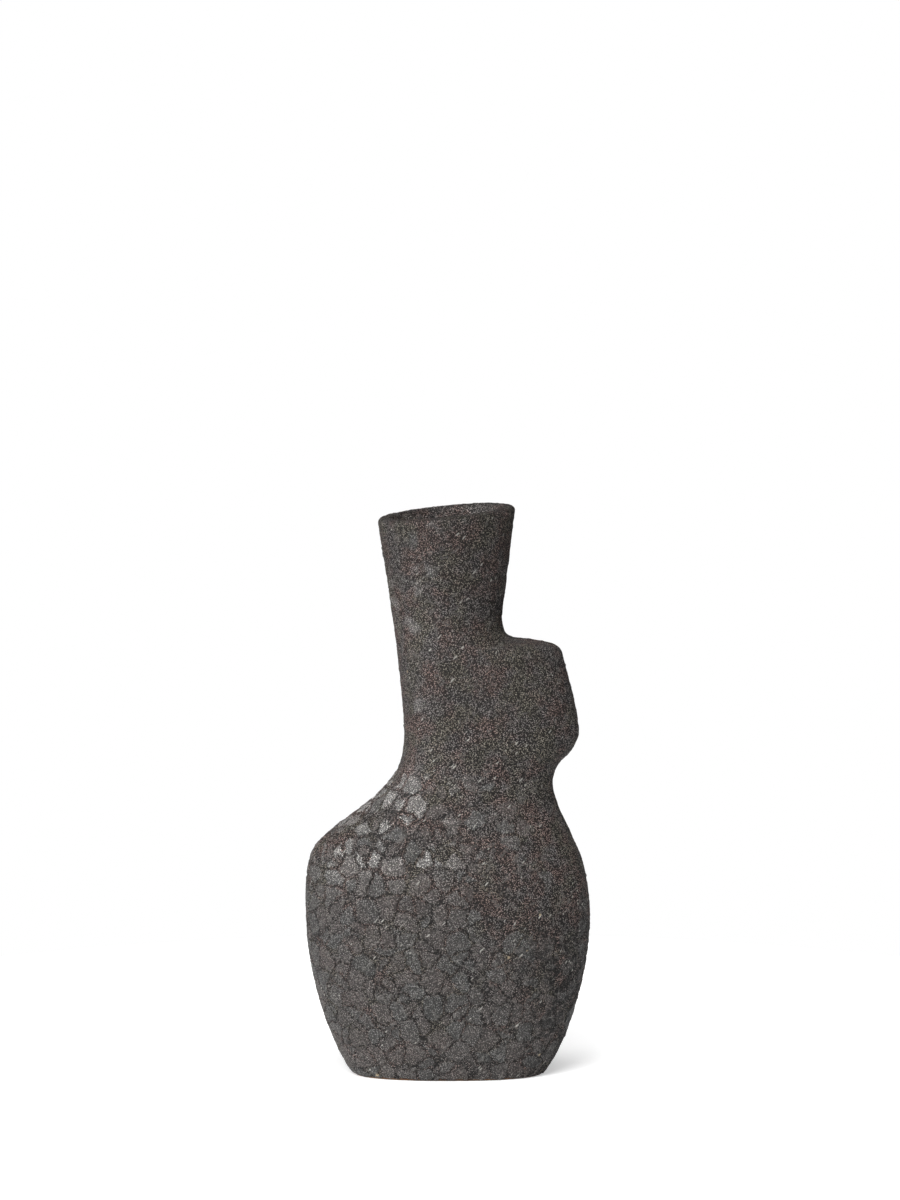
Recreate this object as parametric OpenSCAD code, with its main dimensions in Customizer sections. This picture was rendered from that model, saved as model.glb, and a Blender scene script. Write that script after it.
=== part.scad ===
// Hand-built stoneware vase: a flattened round belly, a waist with one lobe on
// its right side, and a flared neck with a tilted mouth. Clay sections are luted
// together on a flat foot slab, then coated with a thick volcanic glaze outside
// and a thin liner glaze inside. Millimetres, +Z up, front towards -Y. The
// origin is the centre of the foot, on the surface that the vase stands on.

/* [Belly] */
// Width of the glazed outline where it meets the foot
foot_w = 98; // [90:1:104]
// Depth of the glazed outline where it meets the foot
foot_d = 52; // [48:1:60]
// Width of the belly, its widest measure
belly_w = 148; // [140:1:156]
// Depth of the belly, front to back
belly_d = 88; // [80:1:96]
// Height of the belly's widest point
belly_z = 86; // [80:1:90]

/* [Shoulder and waist] */
// Height of the turn from belly to left shoulder
shoulder_z = 119; // [116:1:122]
// Reach of the waist left of the centre line
waist_x = 23; // [21:0.5:26]
// Height of the waist on the left
waist_z = 177; // [173:1:181]
// Depth of the waist, front to back
waist_d = 66; // [60:1:72]

/* [Lobe] */
// Reach of the lobe right of the centre line
lobe_x = 67.8; // [65:0.2:71]
// Height of the lobe's furthest point
lobe_z = 178.5; // [177:0.5:180]
// Height of the lobe's flat top
lobe_top = 227.5; // [226:0.5:229]
// Reach of the notch below the lobe, right of the centre line
notch_x = 54.5; // [52:0.5:57]

/* [Neck and mouth] */
// Width of the neck at its narrowest
neck_w = 58; // [54:0.5:60]
// Depth of the neck at its narrowest
neck_d = 56.5; // [53:0.5:60]
// Width of the mouth over its lip
mouth_w = 71; // [68:0.5:74]
// Depth of the mouth over its lip
mouth_d = 69; // [66:0.5:72]
// Height of the lip's crest at the centre of the mouth
height = 294; // [290:1:302]
// Tilt of the mouth, its right side higher, in degrees
mouth_tilt = 5; // [0:0.5:7]

/* [Walls and coats] */
// Thickness of the foot slab
slab_t = 7; // [6:0.5:8]
// Thickness of the clay walls
wall_t = 5; // [4.5:0.25:5.5]
// Thickness of the volcanic glaze
glaze_t = 1.2; // [1:0.1:1.4]
// Thickness of the liner glaze
liner_t = 0.8; // [0.5:0.1:1]
// Height of the bare clay band at the foot
bare_h = 1; // [0.6:0.1:1.5]
// Drop of the volcanic glaze inside the mouth
glaze_drop = 12; // [10:1:20]

/* [Hidden] */

CLAY = "#8d6248";
GLAZE = "#4b4643";
LINER = "#2e2a28";

sides = 40;          // points round each ring
ring_step = 6.5;     // rough distance between rings along the outline
belly_rings = 14;    // rings from the foot to the widest point
belly_bunch = 1.3;   // above 1, the belly's rings bunch towards the foot
belly_bulge = 0.75;  // below 1, the belly's outline leaves the foot faster
lip_turns = 6;       // steps round the lip
lip_square = 3;      // how square the lip's section is: 2 is a half circle
slab_inset = 0.6;    // clay smeared over the slab's edge
shoulder_joint = 116; // heights of the luted joints between sections
lobe_joint = 158;
neck_joint = 236;

lip_t = 2 * glaze_t + wall_t;    // the lip's whole thickness
lip_z = height - lip_t / 2;      // height where the lip starts to turn inwards
neck_z = lobe_top + 15;          // height of the neck's narrowest point
neck_x = -0.5;                   // where the neck's centre stands
mouth_x = -0.9;                  // where the mouth's centre stands

// ---- Outlines -------------------------------------------------------------

// Share of the way out from foot to belly at height z
function swell(z) = pow(sin(90 * z / belly_z), belly_bulge);
function belly_x(z) = foot_w / 2 + (belly_w - foot_w) / 2 * swell(z);
function belly_y(z) = foot_d / 2 + (belly_d - foot_d) / 2 * swell(z);

// A point on the smooth curve from b to c, which passes a before and d after
function blend(a, b, c, d, t) =
    let (ab = sqrt(norm(b - a)), bc = sqrt(norm(c - b)), cd = sqrt(norm(d - c)),
         leave = (c - b) + bc * ((b - a) / ab - (c - a) / (ab + bc)),
         arrive = (c - b) + bc * ((d - c) / cd - (d - b) / (bc + cd)))
    b + leave * t * pow(1 - t, 2) + (c - b) * t * t * (3 - 2 * t) - arrive * t * t * (1 - t);

// The curve through all the points but the first and last, one point per step
function smooth(p, step) = [
    for (i = [1 : len(p) - 3])
        let (n = ceil(norm(p[i + 1] - p[i]) / step))
        for (k = [0 : n - 1]) blend(p[i - 1], p[i], p[i + 1], p[i + 2], k / n),
    p[len(p) - 2]];

left_edge = [
    [-belly_x(belly_z - 15), belly_z - 15],
    [-belly_w / 2, belly_z],
    [-belly_w / 2 + 0.7, shoulder_z - 12.5],
    [-belly_w / 2 + 4.6, shoulder_z],
    [-belly_w / 2 + 17, shoulder_z + 12],
    [-waist_x - 16.6, shoulder_z + 25],
    [-waist_x - 5.4, waist_z - 21],
    [-waist_x - 1.2, waist_z - 12],
    [-waist_x, waist_z],
    [-waist_x - 2.5, waist_z + 35],
    [neck_x - neck_w / 2 + 0.1, neck_z + 1],
    [mouth_x - mouth_w / 2 + 3.6, lip_z - 24],
    [mouth_x - mouth_w / 2, lip_z],
    [mouth_x - mouth_w / 2 - 2, lip_z + 18]];

right_edge = [
    [belly_x(belly_z - 15), belly_z - 15],
    [belly_w / 2, belly_z],
    [belly_w / 2 - 3.5, belly_z + 24],
    [notch_x + 9, lobe_z - 51],
    [notch_x + 2, lobe_z - 35],
    [notch_x, lobe_z - 25],
    [notch_x + 2.5, lobe_z - 16.5],
    [lobe_x - 3.8, lobe_z - 8.5],
    [lobe_x, lobe_z],
    [lobe_x - 2.6, lobe_z + 19],
    [lobe_x - 6.5, lobe_top - 15],
    [lobe_x - 10, lobe_top - 4.4],
    [lobe_x - 18, lobe_top - 1.5],
    [lobe_x - 31, lobe_top - 0.3],
    [neck_x + neck_w / 2 + 1.9, lobe_top + 3],
    [neck_x + neck_w / 2 - 0.6, lobe_top + 10],
    [neck_x + neck_w / 2 + 0.8, neck_z + 7],
    [mouth_x + mouth_w / 2 - 3.5, lip_z - 26],
    [mouth_x + mouth_w / 2, lip_z],
    [mouth_x + mouth_w / 2 + 2, lip_z + 18]];

// Half of the depth, as the two edges above are half of the width
front_edge = [
    [belly_y(belly_z - 15), belly_z - 15],
    [belly_d / 2, belly_z],
    [belly_d / 2 - 1.5, belly_z + 22],
    [waist_d / 2 + 2.5, waist_z - 27],
    [waist_d / 2, waist_z - 4],
    [waist_d / 2 - 1, waist_z + 20],
    [waist_d / 2 - 2.2, lobe_top - 7],
    [neck_d / 2, neck_z + 1],
    [mouth_d / 2 - 3, lip_z - 22],
    [mouth_d / 2, lip_z],
    [mouth_d / 2 + 2, lip_z + 18]];

// How square each ring's left and right ends are: 2 is an ellipse, more is squarer
left_square = [[0, 2.3], [lobe_joint, 2.25], [neck_z, 2.05], [height, 2]];
right_square = [[0, 2.3], [lobe_joint, 2.3], [lobe_z + 15, 2.8], [neck_z, 2.05], [height, 2]];

function by_height(edge) = [for (p = smooth(edge, 1)) [p[1], p[0]]];
left_at = by_height(left_edge);
front_at = by_height(front_edge);

// The rings' heights and right edges, from the foot to the lip
rings = concat(
    [for (i = [0 : belly_rings - 1])
        let (z = bare_h + (belly_z - bare_h) * pow(i / belly_rings, belly_bunch))
        [belly_x(z), z]],
    smooth(right_edge, ring_step));
top = len(rings) - 1;

function left_x(z) = z < belly_z ? -belly_x(z) : lookup(z, left_at);
function half_y(z) = z < belly_z ? belly_y(z) : lookup(z, front_at);

// The mouth's tilt starts above the lobe and is whole at the lip
function tilted(x, z) =
    let (share = max(0, min(1, (z - neck_joint) / (lip_z - neck_joint))))
    (x - mouth_x) * tan(mouth_tilt) * share;

function bowed(v, n) = sign(v) * pow(abs(v), 2 / n);

// A ring is deepest on the neck's own axis, and each end has its own reach
function ring(right, z) = [
    for (j = [0 : sides - 1])
        let (turn = 360 * j / sides, is_right = cos(turn) > 0,
             n = lookup(z, is_right ? right_square : left_square),
             reach = is_right ? right - neck_x : neck_x - left_x(z),
             x = neck_x + reach * bowed(cos(turn), n))
        [x, half_y(z) * bowed(sin(turn), n), z + tilted(x, z)]];

// ---- Skins ----------------------------------------------------------------

skin = [for (r = rings) ring(r[0], r[1])];

function unit(v) = v / norm(v);
function around(j) = (j + sides) % sides;
function climb(i, j) = unit(skin[min(i + 1, top)][j] - skin[max(i - 1, 0)][j]);
function outward(i, j) =
    unit(cross(skin[i][around(j + 1)] - skin[i][around(j - 1)], climb(i, j)));

normals = [for (i = [0 : top]) [for (j = [0 : sides - 1]) outward(i, j)]];

// Ring i moved a depth inwards from the glazed surface
function inset_ring(i, depth) = [for (j = [0 : sides - 1]) skin[i][j] - depth * normals[i][j]];
function outer_rings(from, to, depth) =
    [for (i = [from : sign(to - from) : to]) inset_ring(i, depth)];

// The inside is plainer, so its skins use every second ring, and the top one
function inner_rings(from, to, depth) =
    let (up = [for (i = [min(from, to) : max(from, to)]) if (i % 2 == 0 || i == top) i])
    [for (k = [0 : len(up) - 1]) inset_ring(up[from < to ? k : len(up) - 1 - k], depth)];

// The round over the lip, from outside to inside, for a coat's own depth
function lip(depth) = [
    for (k = [1 : lip_turns - 1])
        let (turn = 180 * k / lip_turns, r = lip_t / 2 - depth)
        [for (j = [0 : sides - 1])
            skin[top][j] - lip_t / 2 * normals[top][j]
            + r * (bowed(cos(turn), lip_square) * normals[top][j]
                   + bowed(sin(turn), lip_square) * climb(top, j))]];

function reversed(list) = [for (i = [len(list) - 1 : -1 : 0]) list[i]];
function first_ring(z) = [for (i = [0 : 2 : top]) if (rings[i][1] >= z) i][0];
shoulder_i = first_ring(shoulder_joint);
lobe_i = first_ring(lobe_joint);
neck_i = first_ring(neck_joint);
glaze_i = first_ring(lip_z - glaze_drop);   // where the volcanic glaze ends inside
floor_i = first_ring(slab_t + wall_t);      // first ring whose inside clears the slab

clay_in = glaze_t + wall_t;       // depth of the clay's inner face
liner_in = clay_in + liner_t;     // depth of the liner's inner face

// The slab's outline, and that outline as a ring at height z
slab_outline = [
    for (j = [0 : sides - 1])
        let (p = skin[0][j] - glaze_t * normals[0][j], n = normals[0][j])
        [p[0], p[1]] - slab_inset * unit([n[0], n[1]])];
function slab_ring(z) = [for (p = slab_outline) [p[0], p[1], z]];

// Triangles between each ring and the next
function ring_faces(count, closed) = [
    for (k = [0 : count - (closed ? 1 : 2)], j = [0 : sides - 1])
        let (low = k * sides, high = (k + 1) % count * sides, next = (j + 1) % sides)
        each [[low + j, high + j, high + next], [low + j, high + next, low + next]]];

// A solid hoop, whose rings run up its outside and down its inside
module hoop(loop) {
    polyhedron([for (r = loop) each r], ring_faces(len(loop), true));
}

// A solid cup, whose rings run from the underside's edge out, up and back in
module cup(loop) {
    last = (len(loop) - 1) * sides;
    polyhedron(
        [for (r = loop) each r],
        concat(
            ring_faces(len(loop), false),
            [[for (j = [0 : sides - 1]) j],
             [for (j = [sides - 1 : -1 : 0]) last + j]]));
}

// One clay section between two luted joints
module clay_section(from, to) {
    hoop(concat(outer_rings(from, to, glaze_t), inner_rings(to, from, clay_in)));
}

// ---- Sub-parts ------------------------------------------------------------

// Flat oval floor of bare clay, which the vase stands on
module foot_slab() {
    color(CLAY) linear_extrude(slab_t) polygon(slab_outline);
}

// Lower body, smeared down over the slab's edge
module belly_wall() {
    color(CLAY) hoop(concat(
        outer_rings(0, shoulder_i, glaze_t),
        inner_rings(shoulder_i, floor_i, clay_in),
        [slab_ring(slab_t)],
        [slab_ring(inset_ring(0, glaze_t)[0][2])]));
}

// Closing-in part, which slopes on the left from the belly to the waist
module shoulder_wall() {
    color(CLAY) clay_section(shoulder_i, lobe_i);
}

// Waist with its hollow lobe on the right
module lobe_wall() {
    color(CLAY) clay_section(lobe_i, neck_i);
}

// Flared neck with the rounded, tilted lip
module neck_wall() {
    color(CLAY) hoop(concat(
        outer_rings(neck_i, top, glaze_t),
        lip(glaze_t),
        inner_rings(top, neck_i, clay_in)));
}

// Volcanic glaze, over the whole outside, the lip and a little of the inside
module outer_glaze() {
    color(GLAZE) hoop(concat(
        outer_rings(0, top, 0),
        lip(0),
        inner_rings(top, glaze_i, lip_t),
        inner_rings(glaze_i, top, clay_in),
        reversed(lip(glaze_t)),
        outer_rings(top, 0, glaze_t)));
}

// Liner glaze, over the floor and the inside up to the volcanic glaze
module inner_glaze() {
    color(LINER) cup(concat(
        [slab_ring(slab_t)],
        inner_rings(floor_i, glaze_i, clay_in),
        inner_rings(glaze_i, floor_i, liner_in),
        [slab_ring(slab_t + liner_t)]));
}

foot_slab();
belly_wall();
shoulder_wall();
lobe_wall();
neck_wall();
outer_glaze();
inner_glaze();
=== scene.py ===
"""Looks for the hand-built stoneware vase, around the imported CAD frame.

The visible skins start from the rings of the CAD skins, are resampled as smooth
fine grids, and get their relief from geometry nodes. The same pattern functions
build the relief and the materials, so that plates, channels and grit line up.
Pattern functions work in millimetres; everything else is in metres.
"""
import math

import bpy
import numpy as np
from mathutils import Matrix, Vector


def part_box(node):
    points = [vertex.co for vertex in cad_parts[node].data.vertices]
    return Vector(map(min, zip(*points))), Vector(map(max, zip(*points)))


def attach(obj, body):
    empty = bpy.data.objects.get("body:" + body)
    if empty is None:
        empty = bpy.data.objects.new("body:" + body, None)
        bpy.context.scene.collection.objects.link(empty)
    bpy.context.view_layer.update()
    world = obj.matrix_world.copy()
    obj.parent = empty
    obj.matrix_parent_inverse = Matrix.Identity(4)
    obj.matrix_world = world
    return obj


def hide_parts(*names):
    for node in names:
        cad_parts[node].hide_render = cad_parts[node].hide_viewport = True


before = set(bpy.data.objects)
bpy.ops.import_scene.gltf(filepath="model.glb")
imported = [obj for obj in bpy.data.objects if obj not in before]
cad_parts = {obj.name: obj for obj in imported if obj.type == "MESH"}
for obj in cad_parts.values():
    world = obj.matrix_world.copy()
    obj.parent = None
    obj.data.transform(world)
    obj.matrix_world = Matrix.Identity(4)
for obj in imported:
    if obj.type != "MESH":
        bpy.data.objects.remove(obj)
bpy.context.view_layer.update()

MM = 0.001
REST = "rest_position"          # where a point was before its relief, in metres
SPACING = 0.65 * MM             # grid spacing of the glaze
SIDE_POINTS = 560               # points round the glaze's grid
CLAY_POINTS = 420               # points round the foot's grid
LINER_SPACING = 1.4 * MM        # grid spacing of the liner
LINER_POINTS = 280              # points round the liner's grid
EDGE_ROWS = 6                   # steps round the glaze's rounded edges
FOOT_BEVEL = 0.5 * MM           # softening of the foot's lower edge
TWO_EDGES_APART = 50 * MM       # open edges further apart than this are two edges
SAME_PLACE = 0.01 * MM          # points closer than this are one point
ON_CLAY = 0.03 * MM             # a skin's point this close to a clay corner lies on it
CLAY_NODES = ("foot_slab", "belly_wall", "shoulder_wall", "lobe_wall", "neck_wall")


# ---- Skins from the CAD rings ---------------------------------------------

def table(items, field, width=3, kind=float):
    """A field of all the items as an array, width numbers for each item."""
    values = np.empty(len(items) * width, kind)
    items.foreach_get(field, values)
    return values.reshape(-1, width)


def welded(name):
    """A node's points and triangles, with points at one place made one."""
    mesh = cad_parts[name].data
    mesh.calc_loop_triangles()
    points = table(mesh.vertices, "co")
    corners = table(mesh.loop_triangles, "vertices", kind=int)
    keys = np.round(points / SAME_PLACE).astype(int)
    _, first, place = np.unique(keys, axis=0, return_index=True, return_inverse=True)
    return points[first], place.reshape(-1)[corners]


def backed(points, others):
    """True for each point that lies on a corner of the other nodes."""
    corners = np.concatenate([welded(n)[0] for n in others])
    return np.array([np.min(np.abs(corners - p).max(1)) < ON_CLAY for p in points])


def skin_rings(name, others, start_low):
    """The node's free skin as rings of points, from its lowest or highest open edge.

    Each ring is in order round the vase. The first ring is on the clay, at the edge.
    """
    points, triangles = welded(name)
    on_clay = backed(points, others)
    free = triangles[~on_clay[triangles].all(1)]
    used = np.unique(free)
    edge = used[on_clay[used]]
    heights = points[edge][:, 2]
    if np.ptp(heights) > TWO_EDGES_APART:
        low = heights < (heights.min() + heights.max()) / 2
        edge = edge[low if start_low else ~low]
    near = {int(v): set() for v in used}
    for a, b, c in free.tolist():
        near[a].update((b, c))
        near[b].update((a, c))
        near[c].update((a, b))
    rings, seen, ring = [], set(), set(edge.tolist())
    while ring:
        order = sorted(ring, key=lambda v: (math.atan2(points[v][1], points[v][0]) + 1e-3)
                       % (2 * math.pi))
        rings.append(points[order])
        seen |= ring
        ring = set().union(*(near[v] for v in ring)) - seen
    return np.array(rings)


def spline(values, knots, at, closed):
    """A smooth curve through values at knots, read at the places in at."""
    if closed:
        pad = 6
        span = knots[-1] - knots[0] + (knots[1] - knots[0])
        values = np.concatenate([values[-pad:], values, values[:pad]])
        knots = np.concatenate([knots[-pad:] - span, knots, knots[:pad] + span])
    n = len(knots)
    step = np.diff(knots)
    system = np.eye(n)
    right = np.zeros(values.shape)
    for i in range(1, n - 1):
        system[i, i - 1:i + 2] = step[i - 1], 2 * (step[i - 1] + step[i]), step[i]
        right[i] = 6 * ((values[i + 1] - values[i]) / step[i]
                        - (values[i] - values[i - 1]) / step[i - 1])
    bend = np.linalg.solve(system, right.reshape(n, -1)).reshape(values.shape)
    place = np.clip(np.searchsorted(knots, at, side="right") - 1, 0, n - 2)
    wide = (slice(None),) + (None,) * (values.ndim - 1)
    width = step[place][wide]
    share = ((at - knots[place]) / step[place])[wide]
    rest = 1 - share
    return (values[place] * rest + values[place + 1] * share
            + width * width / 6 * ((rest ** 3 - rest) * bend[place]
                                   + (share ** 3 - share) * bend[place + 1]))


def lengths(rings):
    """How far along the profile each ring is, on average round the vase."""
    steps = np.linalg.norm(np.diff(rings, axis=0), axis=2).mean(1)
    return np.concatenate([[0], np.cumsum(steps)])


def refined(rings, spacing, around):
    """The rings' surface as a finer, smooth grid of even spacing."""
    knots = lengths(rings)
    rows = max(int(round(knots[-1] / spacing)), 2)
    rings = spline(rings, knots, np.linspace(0, knots[-1], rows + 1), False)
    sides = rings.shape[1]
    fine = spline(rings.swapaxes(0, 1), np.arange(sides, dtype=float),
                  np.arange(sides * 24) / 24, True).swapaxes(0, 1)
    even = np.empty((len(fine), around, 3))
    for k, ring in enumerate(fine):
        loop = np.concatenate([ring, ring[:1]])
        run = np.concatenate([[0], np.cumsum(np.linalg.norm(np.diff(loop, axis=0), axis=1))])
        at = np.arange(around) / around * run[-1]
        for axis in range(3):
            even[k, :, axis] = np.interp(at, run, loop[:, axis])
    return even


def half_round(outer, inner, beyond, steps):
    """Rings that roll from outer to inner, bulging away from the grid."""
    middle, half = (outer + inner) / 2, (outer - inner) / 2
    away = outer - beyond
    away /= np.linalg.norm(away, axis=1, keepdims=True)
    reach = np.linalg.norm(half, axis=1, keepdims=True) * away
    turns = [math.pi * k / steps for k in range(1, steps)]
    return np.array([middle + half * math.cos(a) + 0.9 * reach * math.sin(a) for a in turns])


def grid_mesh(name, rings, capped=False):
    """A mesh of the rings, closed round the vase, with its end closed if capped."""
    count, sides = rings.shape[:2]
    points = rings.reshape(-1, 3)
    k, j = np.meshgrid(np.arange(count - 1), np.arange(sides), indexing="ij")
    after = (j + 1) % sides
    quads = np.stack([k * sides + j, k * sides + after,
                      (k + 1) * sides + after, (k + 1) * sides + j], -1).reshape(-1, 4)
    faces = quads.tolist()
    if capped:
        points = np.concatenate([points, rings[-1].mean(0, keepdims=True)])
        last = (count - 1) * sides
        faces += [[last + j, last + (j + 1) % sides, count * sides] for j in range(sides)]
    mesh = bpy.data.meshes.new(name)
    mesh.from_pydata(points.tolist(), [], faces)
    mesh.shade_smooth()
    return mesh


def add_object(name, mesh):
    """A new object with this mesh, in the scene."""
    piece = bpy.data.objects.new(name, mesh)
    bpy.context.scene.collection.objects.link(piece)
    return piece


# ---- Node graphs, the same in materials and in geometry nodes --------------

class Graph:
    """Short names for the nodes that both kinds of tree share."""

    def __init__(self, tree):
        self.tree = tree

    def node(self, kind, inputs=(), **settings):
        made = self.tree.nodes.new(kind)
        for key, value in settings.items():
            setattr(made, key, value)
        for key, value in dict(inputs).items():
            self.put(made.inputs[key], value)
        return made

    def put(self, socket, value):
        if isinstance(value, bpy.types.NodeSocket):
            self.tree.links.new(value, socket)
        else:
            socket.default_value = value

    def math(self, operation, *values):
        made = self.node("ShaderNodeMath", enumerate(values), operation=operation)
        return made.outputs[0]

    def add(self, *values):
        total = values[0]
        for value in values[1:]:
            total = self.math("ADD", total, value)
        return total

    def times(self, *values):
        total = values[0]
        for value in values[1:]:
            total = self.math("MULTIPLY", total, value)
        return total

    def vector(self, operation, *values):
        made = self.node("ShaderNodeVectorMath", operation=operation)
        for i, value in enumerate(values):
            scale = operation == "SCALE" and i == 1
            self.put(made.inputs["Scale" if scale else i], value)
        return made.outputs[0]

    def parts(self, value):
        return self.node("ShaderNodeSeparateXYZ", {0: value}).outputs

    def noise(self, at, size, detail, rough, seed):
        """Noise from about 0 to 1, whose lumps are about size millimetres across."""
        made = self.node("ShaderNodeTexNoise",
                         {"Vector": at, "W": seed, "Scale": 1 / size, "Detail": detail,
                          "Roughness": rough}, noise_dimensions="4D")
        return made.outputs

    def drift(self, at, size, reach, detail, rough, seed):
        """A wandering offset, up to about half of reach each way."""
        wander = self.noise(at, size, detail, rough, seed)[1]
        return self.vector("SCALE", self.vector("SUBTRACT", wander, (0.5, 0.5, 0.5)), reach)

    def wave(self, at, size, height, detail, rough, seed):
        """A wandering height, from about -height / 2 to height / 2."""
        return self.math("MULTIPLY_ADD", self.noise(at, size, detail, rough, seed)[0],
                         height, -height / 2)

    def cells(self, at, size, feature="F1"):
        """Cells about size millimetres across; distances come out in cell sizes."""
        made = self.node("ShaderNodeTexVoronoi", {"Vector": at, "Scale": 1 / size},
                         feature=feature)
        return made.outputs

    def ramp(self, value, low, high, out_low=0.0, out_high=1.0, smooth=True):
        """value from low to high becomes out_low to out_high, held at both ends."""
        made = self.node("ShaderNodeMapRange",
                         {0: value, 1: low, 2: high, 3: out_low, 4: out_high},
                         interpolation_type="SMOOTHSTEP" if smooth else "LINEAR")
        return made.outputs[0]

    def mix(self, share, a, b):
        """A number between a and b."""
        made = self.node("ShaderNodeMix", {0: share, 2: a, 3: b}, data_type="FLOAT")
        return made.outputs[0]

    def tint(self, share, a, b):
        """A colour between a and b."""
        made = self.node("ShaderNodeMix", {0: share, 6: a, 7: b}, data_type="RGBA")
        return made.outputs[2]

    def bump(self, shader, height):
        """Gives the shader fine relief, in millimetres."""
        made = self.node("ShaderNodeBump", {"Height": height, "Distance": MM, "Strength": 1.0})
        self.put(shader.inputs["Normal"], made.outputs[0])


def rest_point(graph):
    """The point before its relief, in millimetres."""
    if graph.tree.type == "SHADER":
        at = graph.node("ShaderNodeAttribute", attribute_name=REST).outputs["Vector"]
    else:
        at = graph.node("GeometryNodeInputNamedAttribute", {"Name": REST},
                        data_type="FLOAT_VECTOR").outputs["Attribute"]
    return graph.vector("SCALE", at, 1 / MM)


def relief_modifier(piece, height):
    """Moves the piece's points along their normals by height(graph, point), in mm."""
    tree = bpy.data.node_groups.new(piece.name + "_relief", "GeometryNodeTree")
    tree.interface.new_socket("Geometry", in_out="INPUT", socket_type="NodeSocketGeometry")
    tree.interface.new_socket("Geometry", in_out="OUTPUT", socket_type="NodeSocketGeometry")
    graph = Graph(tree)
    start = graph.node("NodeGroupInput").outputs[0]
    place = graph.node("GeometryNodeInputPosition").outputs[0]
    store = graph.node("GeometryNodeStoreNamedAttribute",
                       {"Geometry": start, "Name": REST, "Value": place},
                       data_type="FLOAT_VECTOR", domain="POINT")
    normal = graph.node("GeometryNodeInputNormal").outputs[0]
    rise = graph.times(height(graph, rest_point(graph)), MM)
    moved = graph.node("GeometryNodeSetPosition",
                       {"Geometry": store.outputs[0],
                        "Offset": graph.vector("SCALE", normal, rise)})
    graph.node("NodeGroupOutput", {0: moved.outputs[0]})
    piece.modifiers.new("relief", "NODES").node_group = tree


def settled(piece):
    """Applies the piece's modifiers."""
    bpy.context.view_layer.update()
    shaped = piece.evaluated_get(bpy.context.evaluated_depsgraph_get())
    mesh = bpy.data.meshes.new_from_object(shaped)
    piece.modifiers.clear()
    piece.data = mesh
    mesh.shade_smooth()


# ---- Volcanic glaze --------------------------------------------------------

# Sizes of the pattern, in millimetres
GRAIN = 0.66
PLATE = 10.0
CHIPS_APART = 17.0

# Colours of the glaze, before the grains' painted light and shade make them lighter and darker;
# the plate highlight, glint, ridge and sliver colours are painted highlights
GREY_BROWN = (0.072, 0.065, 0.0625, 1)
RED_BROWN = (0.087, 0.062, 0.055, 1)
OLIVE = (0.073, 0.066, 0.053, 1)
PLATE_GREY = (0.090, 0.090, 0.088, 1)
PLATE_BROWN = (0.098, 0.084, 0.079, 1)
PAINTED_PLATE_HIGHLIGHT = (0.25, 0.242, 0.233, 1)
CHANNEL_DARK = (0.024, 0.018, 0.016, 1)
CLOT_DARK = (0.020, 0.018, 0.017, 1)
PAINTED_GLINT = (0.46, 0.44, 0.40, 1)
PAINTED_RIDGE_HIGHLIGHT = (0.26, 0.245, 0.23, 1)
PAINTED_SLIVER_HIGHLIGHT = (0.66, 0.64, 0.59, 1)
CHIP_TAN = (0.46, 0.37, 0.25, 1)


def grains(graph, at, size, seed):
    """Domes of grains about size millimetres across, and three chances for each."""
    moved = graph.vector("ADD", at, graph.drift(at, 2.0 * size, 1.1 * size, 1.0, 0.5, seed))
    cell = graph.cells(moved, size)
    return graph.ramp(cell[0], 0.64, 0.1), graph.parts(cell[1])


def leaning(graph, at, share):
    """The point with lengths along a right-leaning diagonal cut to a share."""
    x, y, z = graph.parts(at)[0:3]
    across = graph.times(graph.math("SUBTRACT", x, z), 0.71)
    along = graph.times(graph.add(x, z), 0.71 * share)
    return graph.node("ShaderNodeCombineXYZ", {0: across, 1: y, 2: along}).outputs[0]


def plate_cover(graph, at, neck):
    """How likely a plate is: over the belly from the left, and lower down all over it."""
    x, _, z = graph.parts(at)[0:3]
    limit = graph.math("MULTIPLY_ADD", z, -0.4, 80.0)
    side = graph.math("DIVIDE", graph.math("SUBTRACT", limit, x), 60.0)
    patches = graph.noise(at, 34.0, 2.0, 0.5, 3.0)[0]
    cover = graph.add(graph.ramp(side, -0.4, 1.0, 0.0, 1.0, False),
                      graph.math("MULTIPLY_ADD", patches, 1.2, -0.6))
    return graph.add(graph.times(cover, graph.ramp(z, 176.0, 140.0)),
                     graph.times(neck, graph.ramp(x, 18.0, -18.0), 0.42))


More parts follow.
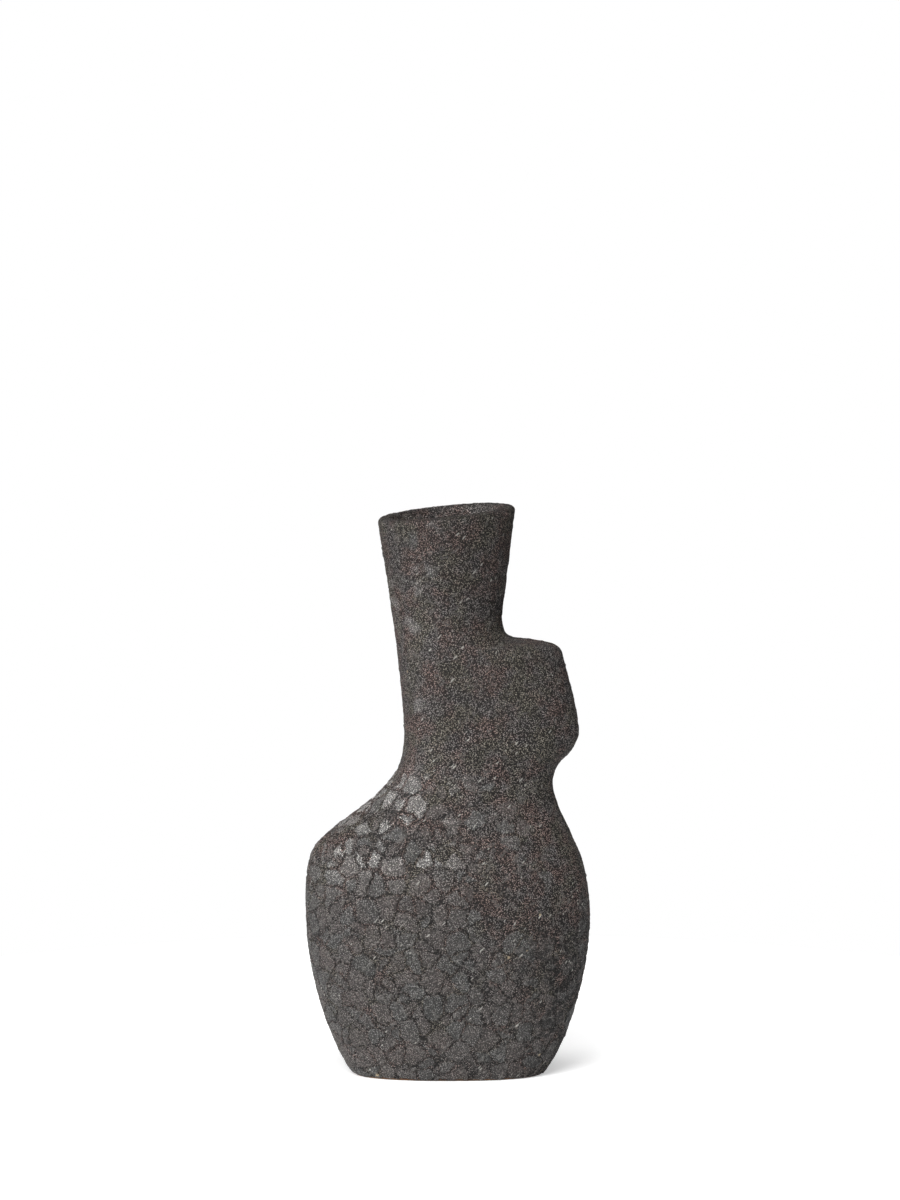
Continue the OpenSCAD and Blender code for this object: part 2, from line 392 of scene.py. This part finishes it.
def glaze_fields(graph, at):
    """Where the glaze's grains, plates, channels and rough patches are."""
    dome, chance = grains(graph, leaning(graph, at, 0.85), GRAIN, 11.0)
    x, _, z = graph.parts(at)[0:3]
    neck = graph.ramp(z, 160.0, 200.0)
    cover = plate_cover(graph, at, neck)
    # The shoulder that faces up to the light: plates gather there, and its plates get a painted
    # highlight
    highlit_shoulder = graph.times(graph.ramp(z, 96.0, 122.0), graph.ramp(z, 172.0, 150.0),
                        graph.ramp(x, 18.0, -14.0), graph.ramp(x, -70.0, -52.0))

    warped = graph.vector("ADD", at, graph.vector(
        "ADD", graph.drift(at, 7.0, 6.0, 1.0, 0.5, 1.0), graph.drift(at, 2.2, 2.2, 2.0, 0.6, 2.0)))
    cell = graph.cells(warped, PLATE)
    pick = graph.parts(cell[1])
    edge = graph.times(graph.cells(warped, PLATE, "DISTANCE_TO_EDGE")[0], PLATE)
    # Whole grains belong to a plate or don't, which frays its edge
    fray = graph.math("MULTIPLY_ADD", chance[2], 0.7, -0.35)
    # High on the belly the plates are islands, lower they almost touch
    apart = graph.ramp(z, 75.0, 115.0)
    round_off = graph.math("MULTIPLY_ADD", cell[0], -PLATE, graph.mix(apart, 8.2, 7.0))
    gap = graph.mix(apart, 0.4, 0.9)
    inside = graph.math("SMOOTH_MIN", graph.math("SUBTRACT", edge, gap), round_off, 0.5)
    inside = graph.add(inside, fray)
    on = graph.math("MAXIMUM", graph.times(highlit_shoulder, graph.ramp(pick[2], 0.2, 0.25)),
                    graph.ramp(graph.math("SUBTRACT", cover, graph.times(pick[0], 0.75)),
                               -0.05, 0.15))
    plate = graph.times(graph.ramp(inside, -0.1, graph.mix(neck, 0.3, 3.4)), on)

    # The channels between plates come and go
    broken = graph.math("MAXIMUM", graph.ramp(graph.noise(at, 6.0, 1.0, 0.5, 6.0)[0], 0.42, 0.58),
                        highlit_shoulder)
    channel = graph.times(graph.ramp(graph.add(edge, graph.times(fray, 0.5)), 0.75, 0.1),
                          graph.ramp(cover, 0.2, 0.8), broken)
    return {
        "dome": dome,
        "chance": chance,
        "plate": plate,
        "channel": channel,
        "highlit_shoulder": highlit_shoulder,
        "neck": neck,
        "crust": graph.times(graph.ramp(x, 26.0, 56.0), graph.ramp(z, 100.0, 65.0)),
        "pick": pick,
        "ridge": flakes(graph, at),
    }


def flakes(graph, at):
    """Short ridges where small scales of glaze overlap."""
    size = 4.6
    moved = graph.vector("ADD", at, graph.drift(at, 2.6, 2.6, 2.0, 0.6, 41.0))
    edge = graph.times(graph.cells(moved, size, "DISTANCE_TO_EDGE")[0], size)
    some = graph.ramp(graph.noise(at, 3.4, 1.0, 0.5, 43.0)[0], 0.55, 0.6)
    return graph.times(graph.ramp(edge, 0.6, 0.1), some)


def slivers(graph, at):
    """Sparse short slivers that stand proud, all leaning to the right; their pale colour is a
    painted highlight.
    """
    moved = graph.vector("ADD", leaning(graph, at, 0.27),
                         graph.drift(at, 3.0, 1.1, 1.0, 0.5, 45.0))
    cell = graph.cells(moved, 1.2)
    return graph.times(graph.ramp(cell[0], 0.4, 0.26),
                       graph.ramp(graph.parts(cell[1])[0], 0.95, 0.97),
                       graph.ramp(graph.noise(at, 20.0, 1.0, 0.5, 47.0)[0], 0.4, 0.5))


def chips(graph, at):
    """A few spots about 2 mm across where the glaze has flaked off."""
    moved = graph.vector("ADD", at, graph.vector(
        "SCALE", graph.noise(at, 1.3, 1.0, 0.5, 19.0)[1], 1.4))
    cell = graph.cells(moved, CHIPS_APART)
    return graph.times(graph.ramp(graph.times(cell[0], CHIPS_APART), 1.1, 0.7),
                       graph.ramp(graph.parts(cell[1])[1], 0.3, 0.31))


def glaze_relief(graph, at):
    """Height of the glaze's relief, in millimetres."""
    f = glaze_fields(graph, at)
    hand = graph.wave(at, 55.0, 0.9, 1.0, 0.4, 7.0)
    lump = graph.wave(at, 7.0, 1.0, 2.0, 0.5, 9.0)
    grit = graph.times(graph.wave(at, 2.0, 0.8, 1.0, 0.6, 5.0),
                       graph.mix(f["plate"], 0.9, 0.6), graph.mix(f["crust"], 1.0, 2.5))
    cell = graph.cells(at, 3.8)
    crumb = graph.times(graph.ramp(graph.times(cell[0], 3.8), 1.1, 0.3),
                        graph.ramp(graph.parts(cell[1])[0], 0.8, 0.97), 0.4)
    return graph.add(hand, lump, grit, crumb, graph.times(f["ridge"], 0.14),
                     graph.times(f["plate"], 0.28), graph.times(f["channel"], -0.12), -0.2)


def plain_tone(graph, at, f):
    """The glaze's colour without its grains: mottled brown, plates, channels, clots, and the
    shoulder's plates painted lighter as a highlight.
    """
    tone = graph.tint(graph.ramp(graph.noise(at, 12.0, 2.0, 0.6, 13.0)[0], 0.40, 0.62),
                      GREY_BROWN, RED_BROWN)
    tone = graph.tint(graph.ramp(graph.noise(at, 15.0, 2.0, 0.6, 17.0)[0], 0.46, 0.64, 0.0, 0.9),
                      tone, OLIVE)
    plate = graph.tint(graph.ramp(f["pick"][1], 0.2, 0.8), PLATE_GREY, PLATE_BROWN)
    plate = graph.tint(0.75, tone, plate)
    # Some plates are lighter at random, more on the neck; on the shoulder the plates are painted
    # lighter, a painted highlight
    bright = graph.times(graph.ramp(f["pick"][2], 0.15, 0.8), graph.add(
        graph.mix(f["highlit_shoulder"], 0.1, 0.85), graph.times(f["neck"], 0.3)))
    plate = graph.tint(bright, plate, PAINTED_PLATE_HIGHLIGHT)
    tone = graph.tint(f["plate"], tone, plate)
    tone = graph.tint(graph.times(f["channel"], 0.6), tone, CHANNEL_DARK)
    clot = graph.ramp(graph.noise(at, 3.4, 2.0, 0.6, 29.0)[0], 0.46, 0.56)
    return graph.tint(graph.times(clot, f["crust"], 0.95), tone, CLOT_DARK)


def grain_tone_and_painted_shading(graph, at, f):
    """Grains are painted light on top and dark between, painted light and shade for their relief,
    and each grain's lightness differs at random; the plates and the neck are calmer.
    """
    # Painted light and shade: grain tops lighter, the hollows between them darker
    light = graph.times(
        graph.math("MULTIPLY_ADD", graph.math("POWER", f["dome"], 2.0), 6.0, 0.13),
        graph.math("MULTIPLY_ADD", f["chance"][0], 0.6, 0.7))
    calm = graph.add(graph.times(f["plate"], 0.32), graph.times(f["neck"], 0.08))
    light = graph.mix(calm, light, 1.0)
    # Painted shade: the glaze is darker low on the belly; it is also a little darker on the neck
    return graph.times(light, graph.ramp(graph.parts(at)[2], 75.0, 135.0, 1.04, 1.44),
                       graph.mix(f["neck"], 1.0, 0.93))


def glaze_material(lip_height, lip_slope):
    """The glaze's look; its lip's top is at lip_height + lip_slope * x, in mm."""
    material = bpy.data.materials.new("volcanic_glaze")
    material.use_nodes = True
    graph = Graph(material.node_tree)
    shader = material.node_tree.nodes["Principled BSDF"]
    at = rest_point(graph)
    f = glaze_fields(graph, at)
    dome, chance = f["dome"], f["chance"]
    sliver = slivers(graph, at)

    tone = graph.vector("SCALE", plain_tone(graph, at, f), grain_tone_and_painted_shading(graph, at, f))
    # Painted glints: some grain tops are painted near white, as if catching the light
    painted_glint = graph.times(graph.ramp(chance[1], 0.91, 1.0), graph.ramp(dome, 0.3, 0.8))
    tone = graph.tint(graph.times(painted_glint, 0.8), tone, PAINTED_GLINT)
    # Painted highlight along the flake ridges
    tone = graph.tint(graph.times(f["ridge"], 0.34), tone, PAINTED_RIDGE_HIGHLIGHT)
    # Painted highlight on the slivers
    tone = graph.tint(graph.times(sliver, 0.85), tone, PAINTED_SLIVER_HIGHLIGHT)
    tone = graph.tint(chips(graph, at), tone, CHIP_TAN)
    # Painted shade: the glaze is painted darker along the lip's top
    x, _, z = graph.parts(at)[0:3]
    below = graph.math("SUBTRACT", graph.math("MULTIPLY_ADD", x, lip_slope, lip_height), z)
    tone = graph.vector("SCALE", tone, graph.ramp(below, 2.5, 0.4, 1.0, 0.6))
    graph.put(shader.inputs["Base Color"], tone)

    gloss = graph.add(graph.mix(f["plate"], 0.68, 0.5),
                      graph.math("MULTIPLY_ADD", chance[2], 0.4, -0.2))
    graph.put(shader.inputs["Roughness"], graph.ramp(gloss, 0.3, 0.95, 0.3, 0.95, False))
    shader.inputs["Specular IOR Level"].default_value = 0.4

    pebble, sparse = grains(graph, at, 2.1, 12.0)
    graph.bump(shader, graph.add(
        graph.times(dome, graph.math("MULTIPLY_ADD", chance[2], 0.6, 0.4)),
        graph.times(pebble, graph.ramp(sparse[0], 0.3, 0.95), 0.08),
        graph.times(f["plate"], 0.35), graph.times(f["channel"], -0.15),
        graph.times(f["ridge"], 0.3), graph.times(sliver, 0.5)))
    return material


def glaze_grid():
    """The volcanic glaze's rings: foot edge, outside, lip, and the edge inside."""
    rings = skin_rings("outer_glaze", CLAY_NODES, True)
    foot_inner, top_inner = rings[0], rings[-1]
    rings = refined(rings[1:-1], SPACING, SIDE_POINTS)
    foot_inner, top_inner = (
        refined(np.array([edge, edge]) + np.array([[[0, 0, 0]], [[0, 0, MM]]]),
                MM, SIDE_POINTS)[0] for edge in (foot_inner, top_inner))
    low = half_round(rings[0], foot_inner, rings[3], EDGE_ROWS)[::-1]
    high = half_round(rings[-1], top_inner, rings[-4], EDGE_ROWS)
    return np.concatenate([foot_inner[None], low, rings, high, top_inner[None]])


def split(piece, parts):
    """Splits the piece's mesh into new pieces, where parts maps names to face tests."""
    source = piece.data
    centres = table(source.polygons, "center")
    corners = table(source.loops, "vertex_index", 1, int).reshape(-1, 4)
    points = table(source.vertices, "co")
    rest = table(source.attributes[REST].data, "vector")
    normals = table(source.vertex_normals, "vector")
    made = []
    for name, test in parts.items():
        faces = corners[test(centres)]
        used, place = np.unique(faces, return_inverse=True)
        mesh = bpy.data.meshes.new(name)
        mesh.from_pydata(points[used].tolist(), [], place.reshape(-1, 4).tolist())
        mesh.attributes.new(REST, "FLOAT_VECTOR", "POINT")
        mesh.attributes[REST].data.foreach_set("vector", rest[used].ravel())
        mesh.shade_smooth()
        mesh.normals_split_custom_set_from_vertices(normals[used].tolist())
        made.append(add_object(name, mesh))
    bpy.data.objects.remove(piece)
    return made


def make_glaze():
    """The outer glaze, in four pieces that are each small enough for a sharp map."""
    rings = glaze_grid()
    lip = rings[rings[:, :, 2].mean(1).argmax()]
    lip_slope, lip_height = np.polyfit(lip[:, 0], lip[:, 2], 1)
    whole = add_object("glaze", grid_mesh("glaze", rings))
    relief_modifier(whole, glaze_relief)
    settled(whole)
    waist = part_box("belly_wall")[1][2]
    pieces = split(whole, {
        "glaze_upper_front": lambda c: (c[:, 2] >= waist) & (c[:, 1] < 0),
        "glaze_upper_back": lambda c: (c[:, 2] >= waist) & (c[:, 1] >= 0),
        "glaze_lower_front": lambda c: (c[:, 2] < waist) & (c[:, 1] < 0),
        "glaze_lower_back": lambda c: (c[:, 2] < waist) & (c[:, 1] >= 0)})
    material = glaze_material(lip_height / MM, lip_slope)
    for piece in pieces:
        piece.data.materials.append(material)
        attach(piece, "root")
        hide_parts("outer_glaze")


# ---- Liner glaze -----------------------------------------------------------

def liner_relief(graph, at):
    """Height of the liner's relief, in millimetres."""
    return graph.add(graph.wave(at, 26.0, 0.7, 1.0, 0.4, 21.0),
                     graph.wave(at, 3.0, 0.24, 2.0, 0.55, 23.0))


def liner_material():
    """Dark satin glaze with brown clouds and pinholes."""
    material = bpy.data.materials.new("liner_glaze")
    material.use_nodes = True
    graph = Graph(material.node_tree)
    shader = material.node_tree.nodes["Principled BSDF"]
    at = rest_point(graph)
    cloud = graph.noise(at, 11.0, 3.0, 0.6, 25.0)[0]
    fine = graph.noise(at, 0.9, 2.0, 0.6, 27.0)[0]
    tone = graph.tint(graph.ramp(cloud, 0.35, 0.65),
                      (0.024, 0.019, 0.016, 1), (0.050, 0.043, 0.038, 1))
    tone = graph.tint(graph.ramp(fine, 0.6, 0.75, 0.0, 0.6), tone, (0.072, 0.060, 0.050, 1))
    graph.put(shader.inputs["Base Color"], tone)
    graph.put(shader.inputs["Roughness"], graph.ramp(cloud, 0.3, 0.7, 0.42, 0.58))
    pinhole = graph.cells(at, 4.5)
    pit = graph.times(graph.ramp(graph.times(pinhole[0], 4.5), 0.5, 0.15),
                      graph.ramp(graph.parts(pinhole[1])[0], 0.55, 0.6), -0.2)
    graph.bump(shader, graph.add(graph.times(fine, 0.06), pit))
    return material


def make_liner():
    """The liner's wall from its upper edge down, and the floor that it runs out on."""
    rings = skin_rings("inner_glaze", CLAY_NODES, False)
    wall = refined(rings[1:], LINER_SPACING, LINER_POINTS)
    centre = wall[-1].mean(0)
    shrink = np.linspace(1, 0.03, 22)[1:, None, None]
    floor = centre + (wall[-1] - centre) * shrink
    piece = add_object("liner_glaze_coat", grid_mesh(
        "liner_glaze_coat", np.concatenate([wall, floor])[:, ::-1], True))
    relief_modifier(piece, liner_relief)
    settled(piece)
    piece.data.materials.append(liner_material())
    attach(piece, "root")
    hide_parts("inner_glaze")


# ---- Clay ------------------------------------------------------------------

def clay_relief(graph, at):
    """Height of the foot's relief, in millimetres; hollows only, so that it stands flat."""
    grain = graph.wave(at, 2.0, 0.3, 3.0, 0.6, 31.0)
    dish = graph.math("MULTIPLY_ADD", graph.noise(at, 24.0, 1.0, 0.4, 33.0)[0], 0.25, -0.13)
    return graph.math("MINIMUM", graph.add(grain, dish), 0.0)


def clay_material():
    """Bare orange-brown clay with dark and pale specks of grog."""
    material = bpy.data.materials.new("fired_clay")
    material.use_nodes = True
    graph = Graph(material.node_tree)
    shader = material.node_tree.nodes["Principled BSDF"]
    at = graph.vector("SCALE", graph.node("ShaderNodeTexCoord").outputs["Object"], 1 / MM)
    cloud = graph.noise(at, 16.0, 3.0, 0.6, 35.0)[0]
    grain = graph.noise(at, 0.9, 3.0, 0.65, 37.0)[0]
    tone = graph.tint(graph.ramp(cloud, 0.34, 0.66),
                      (0.30, 0.165, 0.095, 1), (0.40, 0.26, 0.165, 1))
    tone = graph.tint(graph.ramp(grain, 0.55, 0.8, 0.0, 0.6), tone, (0.56, 0.42, 0.30, 1))
    grog = graph.cells(at, 1.6)
    picked = graph.parts(grog[1])
    spot = graph.times(graph.ramp(graph.times(grog[0], 1.6), 0.5, 0.25),
                       graph.ramp(picked[0], 0.86, 0.9))
    tone = graph.tint(graph.times(spot, 0.8), tone, (0.075, 0.045, 0.032, 1))
    pale = graph.times(graph.ramp(graph.times(grog[0], 1.6), 0.55, 0.3),
                       graph.ramp(picked[1], 0.9, 0.94))
    tone = graph.tint(graph.times(pale, 0.8), tone, (0.66, 0.56, 0.43, 1))
    graph.put(shader.inputs["Base Color"], tone)
    graph.put(shader.inputs["Roughness"], graph.ramp(grain, 0.3, 0.7, 0.78, 0.95))
    shader.inputs["Specular IOR Level"].default_value = 0.25
    graph.bump(shader, graph.add(graph.times(grain, 0.22), graph.times(pale, 0.1),
                                 graph.times(spot, -0.08)))
    return material


def make_foot(material):
    """The foot slab with a softened edge, its underside a fine grid."""
    points, _ = welded("foot_slab")
    low = points[points[:, 2] < SAME_PLACE]
    order = np.argsort((np.arctan2(low[:, 1], low[:, 0]) + 1e-3) % (2 * math.pi))
    outline = low[order]
    outline = refined(np.array([outline, outline + (0, 0, MM)]), MM, CLAY_POINTS)[0]
    top = points[:, 2].max()
    bevel = FOOT_BEVEL
    out = outline - outline.mean(0)
    out /= np.linalg.norm(out, axis=1, keepdims=True)
    side = [outline + (0, 0, z) for z in np.linspace(top, bevel, 12)]
    corner = [outline - out * bevel * (1 - math.cos(a)) + (0, 0, bevel * (1 - math.sin(a)))
              for a in np.linspace(0, math.pi / 2, 6)[1:]]
    centre = outline.mean(0)
    under = [centre + (corner[-1] - centre) * s for s in np.linspace(1, 0.02, 60)[1:]]
    rings = np.array(side + corner + under)
    piece = add_object("foot_clay", grid_mesh("foot_clay", rings[:, ::-1], True))
    relief_modifier(piece, clay_relief)
    settled(piece)
    piece.data.materials.append(material)
    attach(piece, "root")
    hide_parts("foot_slab")


def finish_walls(material):
    """The clay sections under the glaze stay as the CAD made them."""
    for name in CLAY_NODES[1:]:
        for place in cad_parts[name].material_slots:
            place.material = material


# ---- Studio ----------------------------------------------------------------

def floor_material():
    """White and matt; the camera sees it as a little overexposed."""
    material = bpy.data.materials.new("floor")
    material.use_nodes = True
    graph = Graph(material.node_tree)
    shader = material.node_tree.nodes["Principled BSDF"]
    shader.inputs["Base Color"].default_value = (0.9, 0.9, 0.9, 1)
    shader.inputs["Roughness"].default_value = 0.9
    shader.inputs["Emission Color"].default_value = (1, 1, 1, 1)
    rays = graph.node("ShaderNodeLightPath")
    graph.put(shader.inputs["Emission Strength"], graph.times(rays.outputs["Is Camera Ray"], 0.5))
    return material


def make_floor():
    """A round plain floor."""
    radius, sides = 0.45, 96
    turns = [2 * math.pi * k / sides for k in range(sides)]
    rim = [(radius * math.cos(a), radius * math.sin(a), 0) for a in turns]
    mesh = bpy.data.meshes.new("floor")
    mesh.from_pydata(rim, [], [list(range(sides))])
    mesh.materials.append(floor_material())
    add_object("floor", mesh)


def sun(name, azimuth, elevation, softness, strength):
    """A soft, even light; azimuth 0 is in front of the vase, positive to its right."""
    data = bpy.data.lights.new(name, "SUN")
    data.energy = strength
    data.angle = math.radians(softness)
    light = bpy.data.objects.new(name, data)
    bpy.context.scene.collection.objects.link(light)
    light.rotation_euler = (math.radians(90 - elevation), 0, math.radians(azimuth))


def make_lights():
    """Three soft suns, and a white backdrop that lights the vase only faintly."""
    sun("side", -80, 15, 30, 1.88)
    sun("front", -20, 40, 30, 2.12)
    sun("top", 10, 65, 30, 1.45)
    world = bpy.data.worlds.new("studio")
    bpy.context.scene.world = world
    world.use_nodes = True
    tree = world.node_tree
    graph = Graph(tree)
    sky = tree.nodes["Background"]
    sky.inputs["Color"].default_value = (1, 1, 1, 1)
    sky.inputs["Strength"].default_value = 0.06
    seen = graph.node("ShaderNodeBackground", {"Color": (1, 1, 1, 1), "Strength": 1.0})
    rays = graph.node("ShaderNodeLightPath")
    both = graph.node("ShaderNodeMixShader",
                      {0: rays.outputs["Is Camera Ray"], 1: sky.outputs[0], 2: seen.outputs[0]})
    graph.put(tree.nodes["World Output"].inputs["Surface"], both.outputs[0])


def make_camera():
    """A long lens from in front and a little above, with the vase low in the frame."""
    distance, aim_height = 3.6, 0.148
    look_down, sits_low, side_step, field = 8.0, 1.583, 0.015, 9.9      # degrees
    data = bpy.data.cameras.new("camera")
    data.sensor_width = 36
    data.lens = data.sensor_width / 2 / math.tan(math.radians(field / 2))
    camera = bpy.data.objects.new("camera", data)
    bpy.context.scene.collection.objects.link(camera)
    drop = math.radians(look_down)
    camera.location = (0, -distance * math.cos(drop), aim_height + distance * math.sin(drop))
    camera.rotation_euler = (math.radians(90 - look_down + sits_low), 0,
                             -math.radians(side_step))
    bpy.context.scene.camera = camera


make_camera()
make_floor()
make_lights()
bpy.context.scene.view_settings.view_transform = "Standard"

clay = clay_material()
make_glaze()
make_liner()
make_foot(clay)
finish_walls(clay)
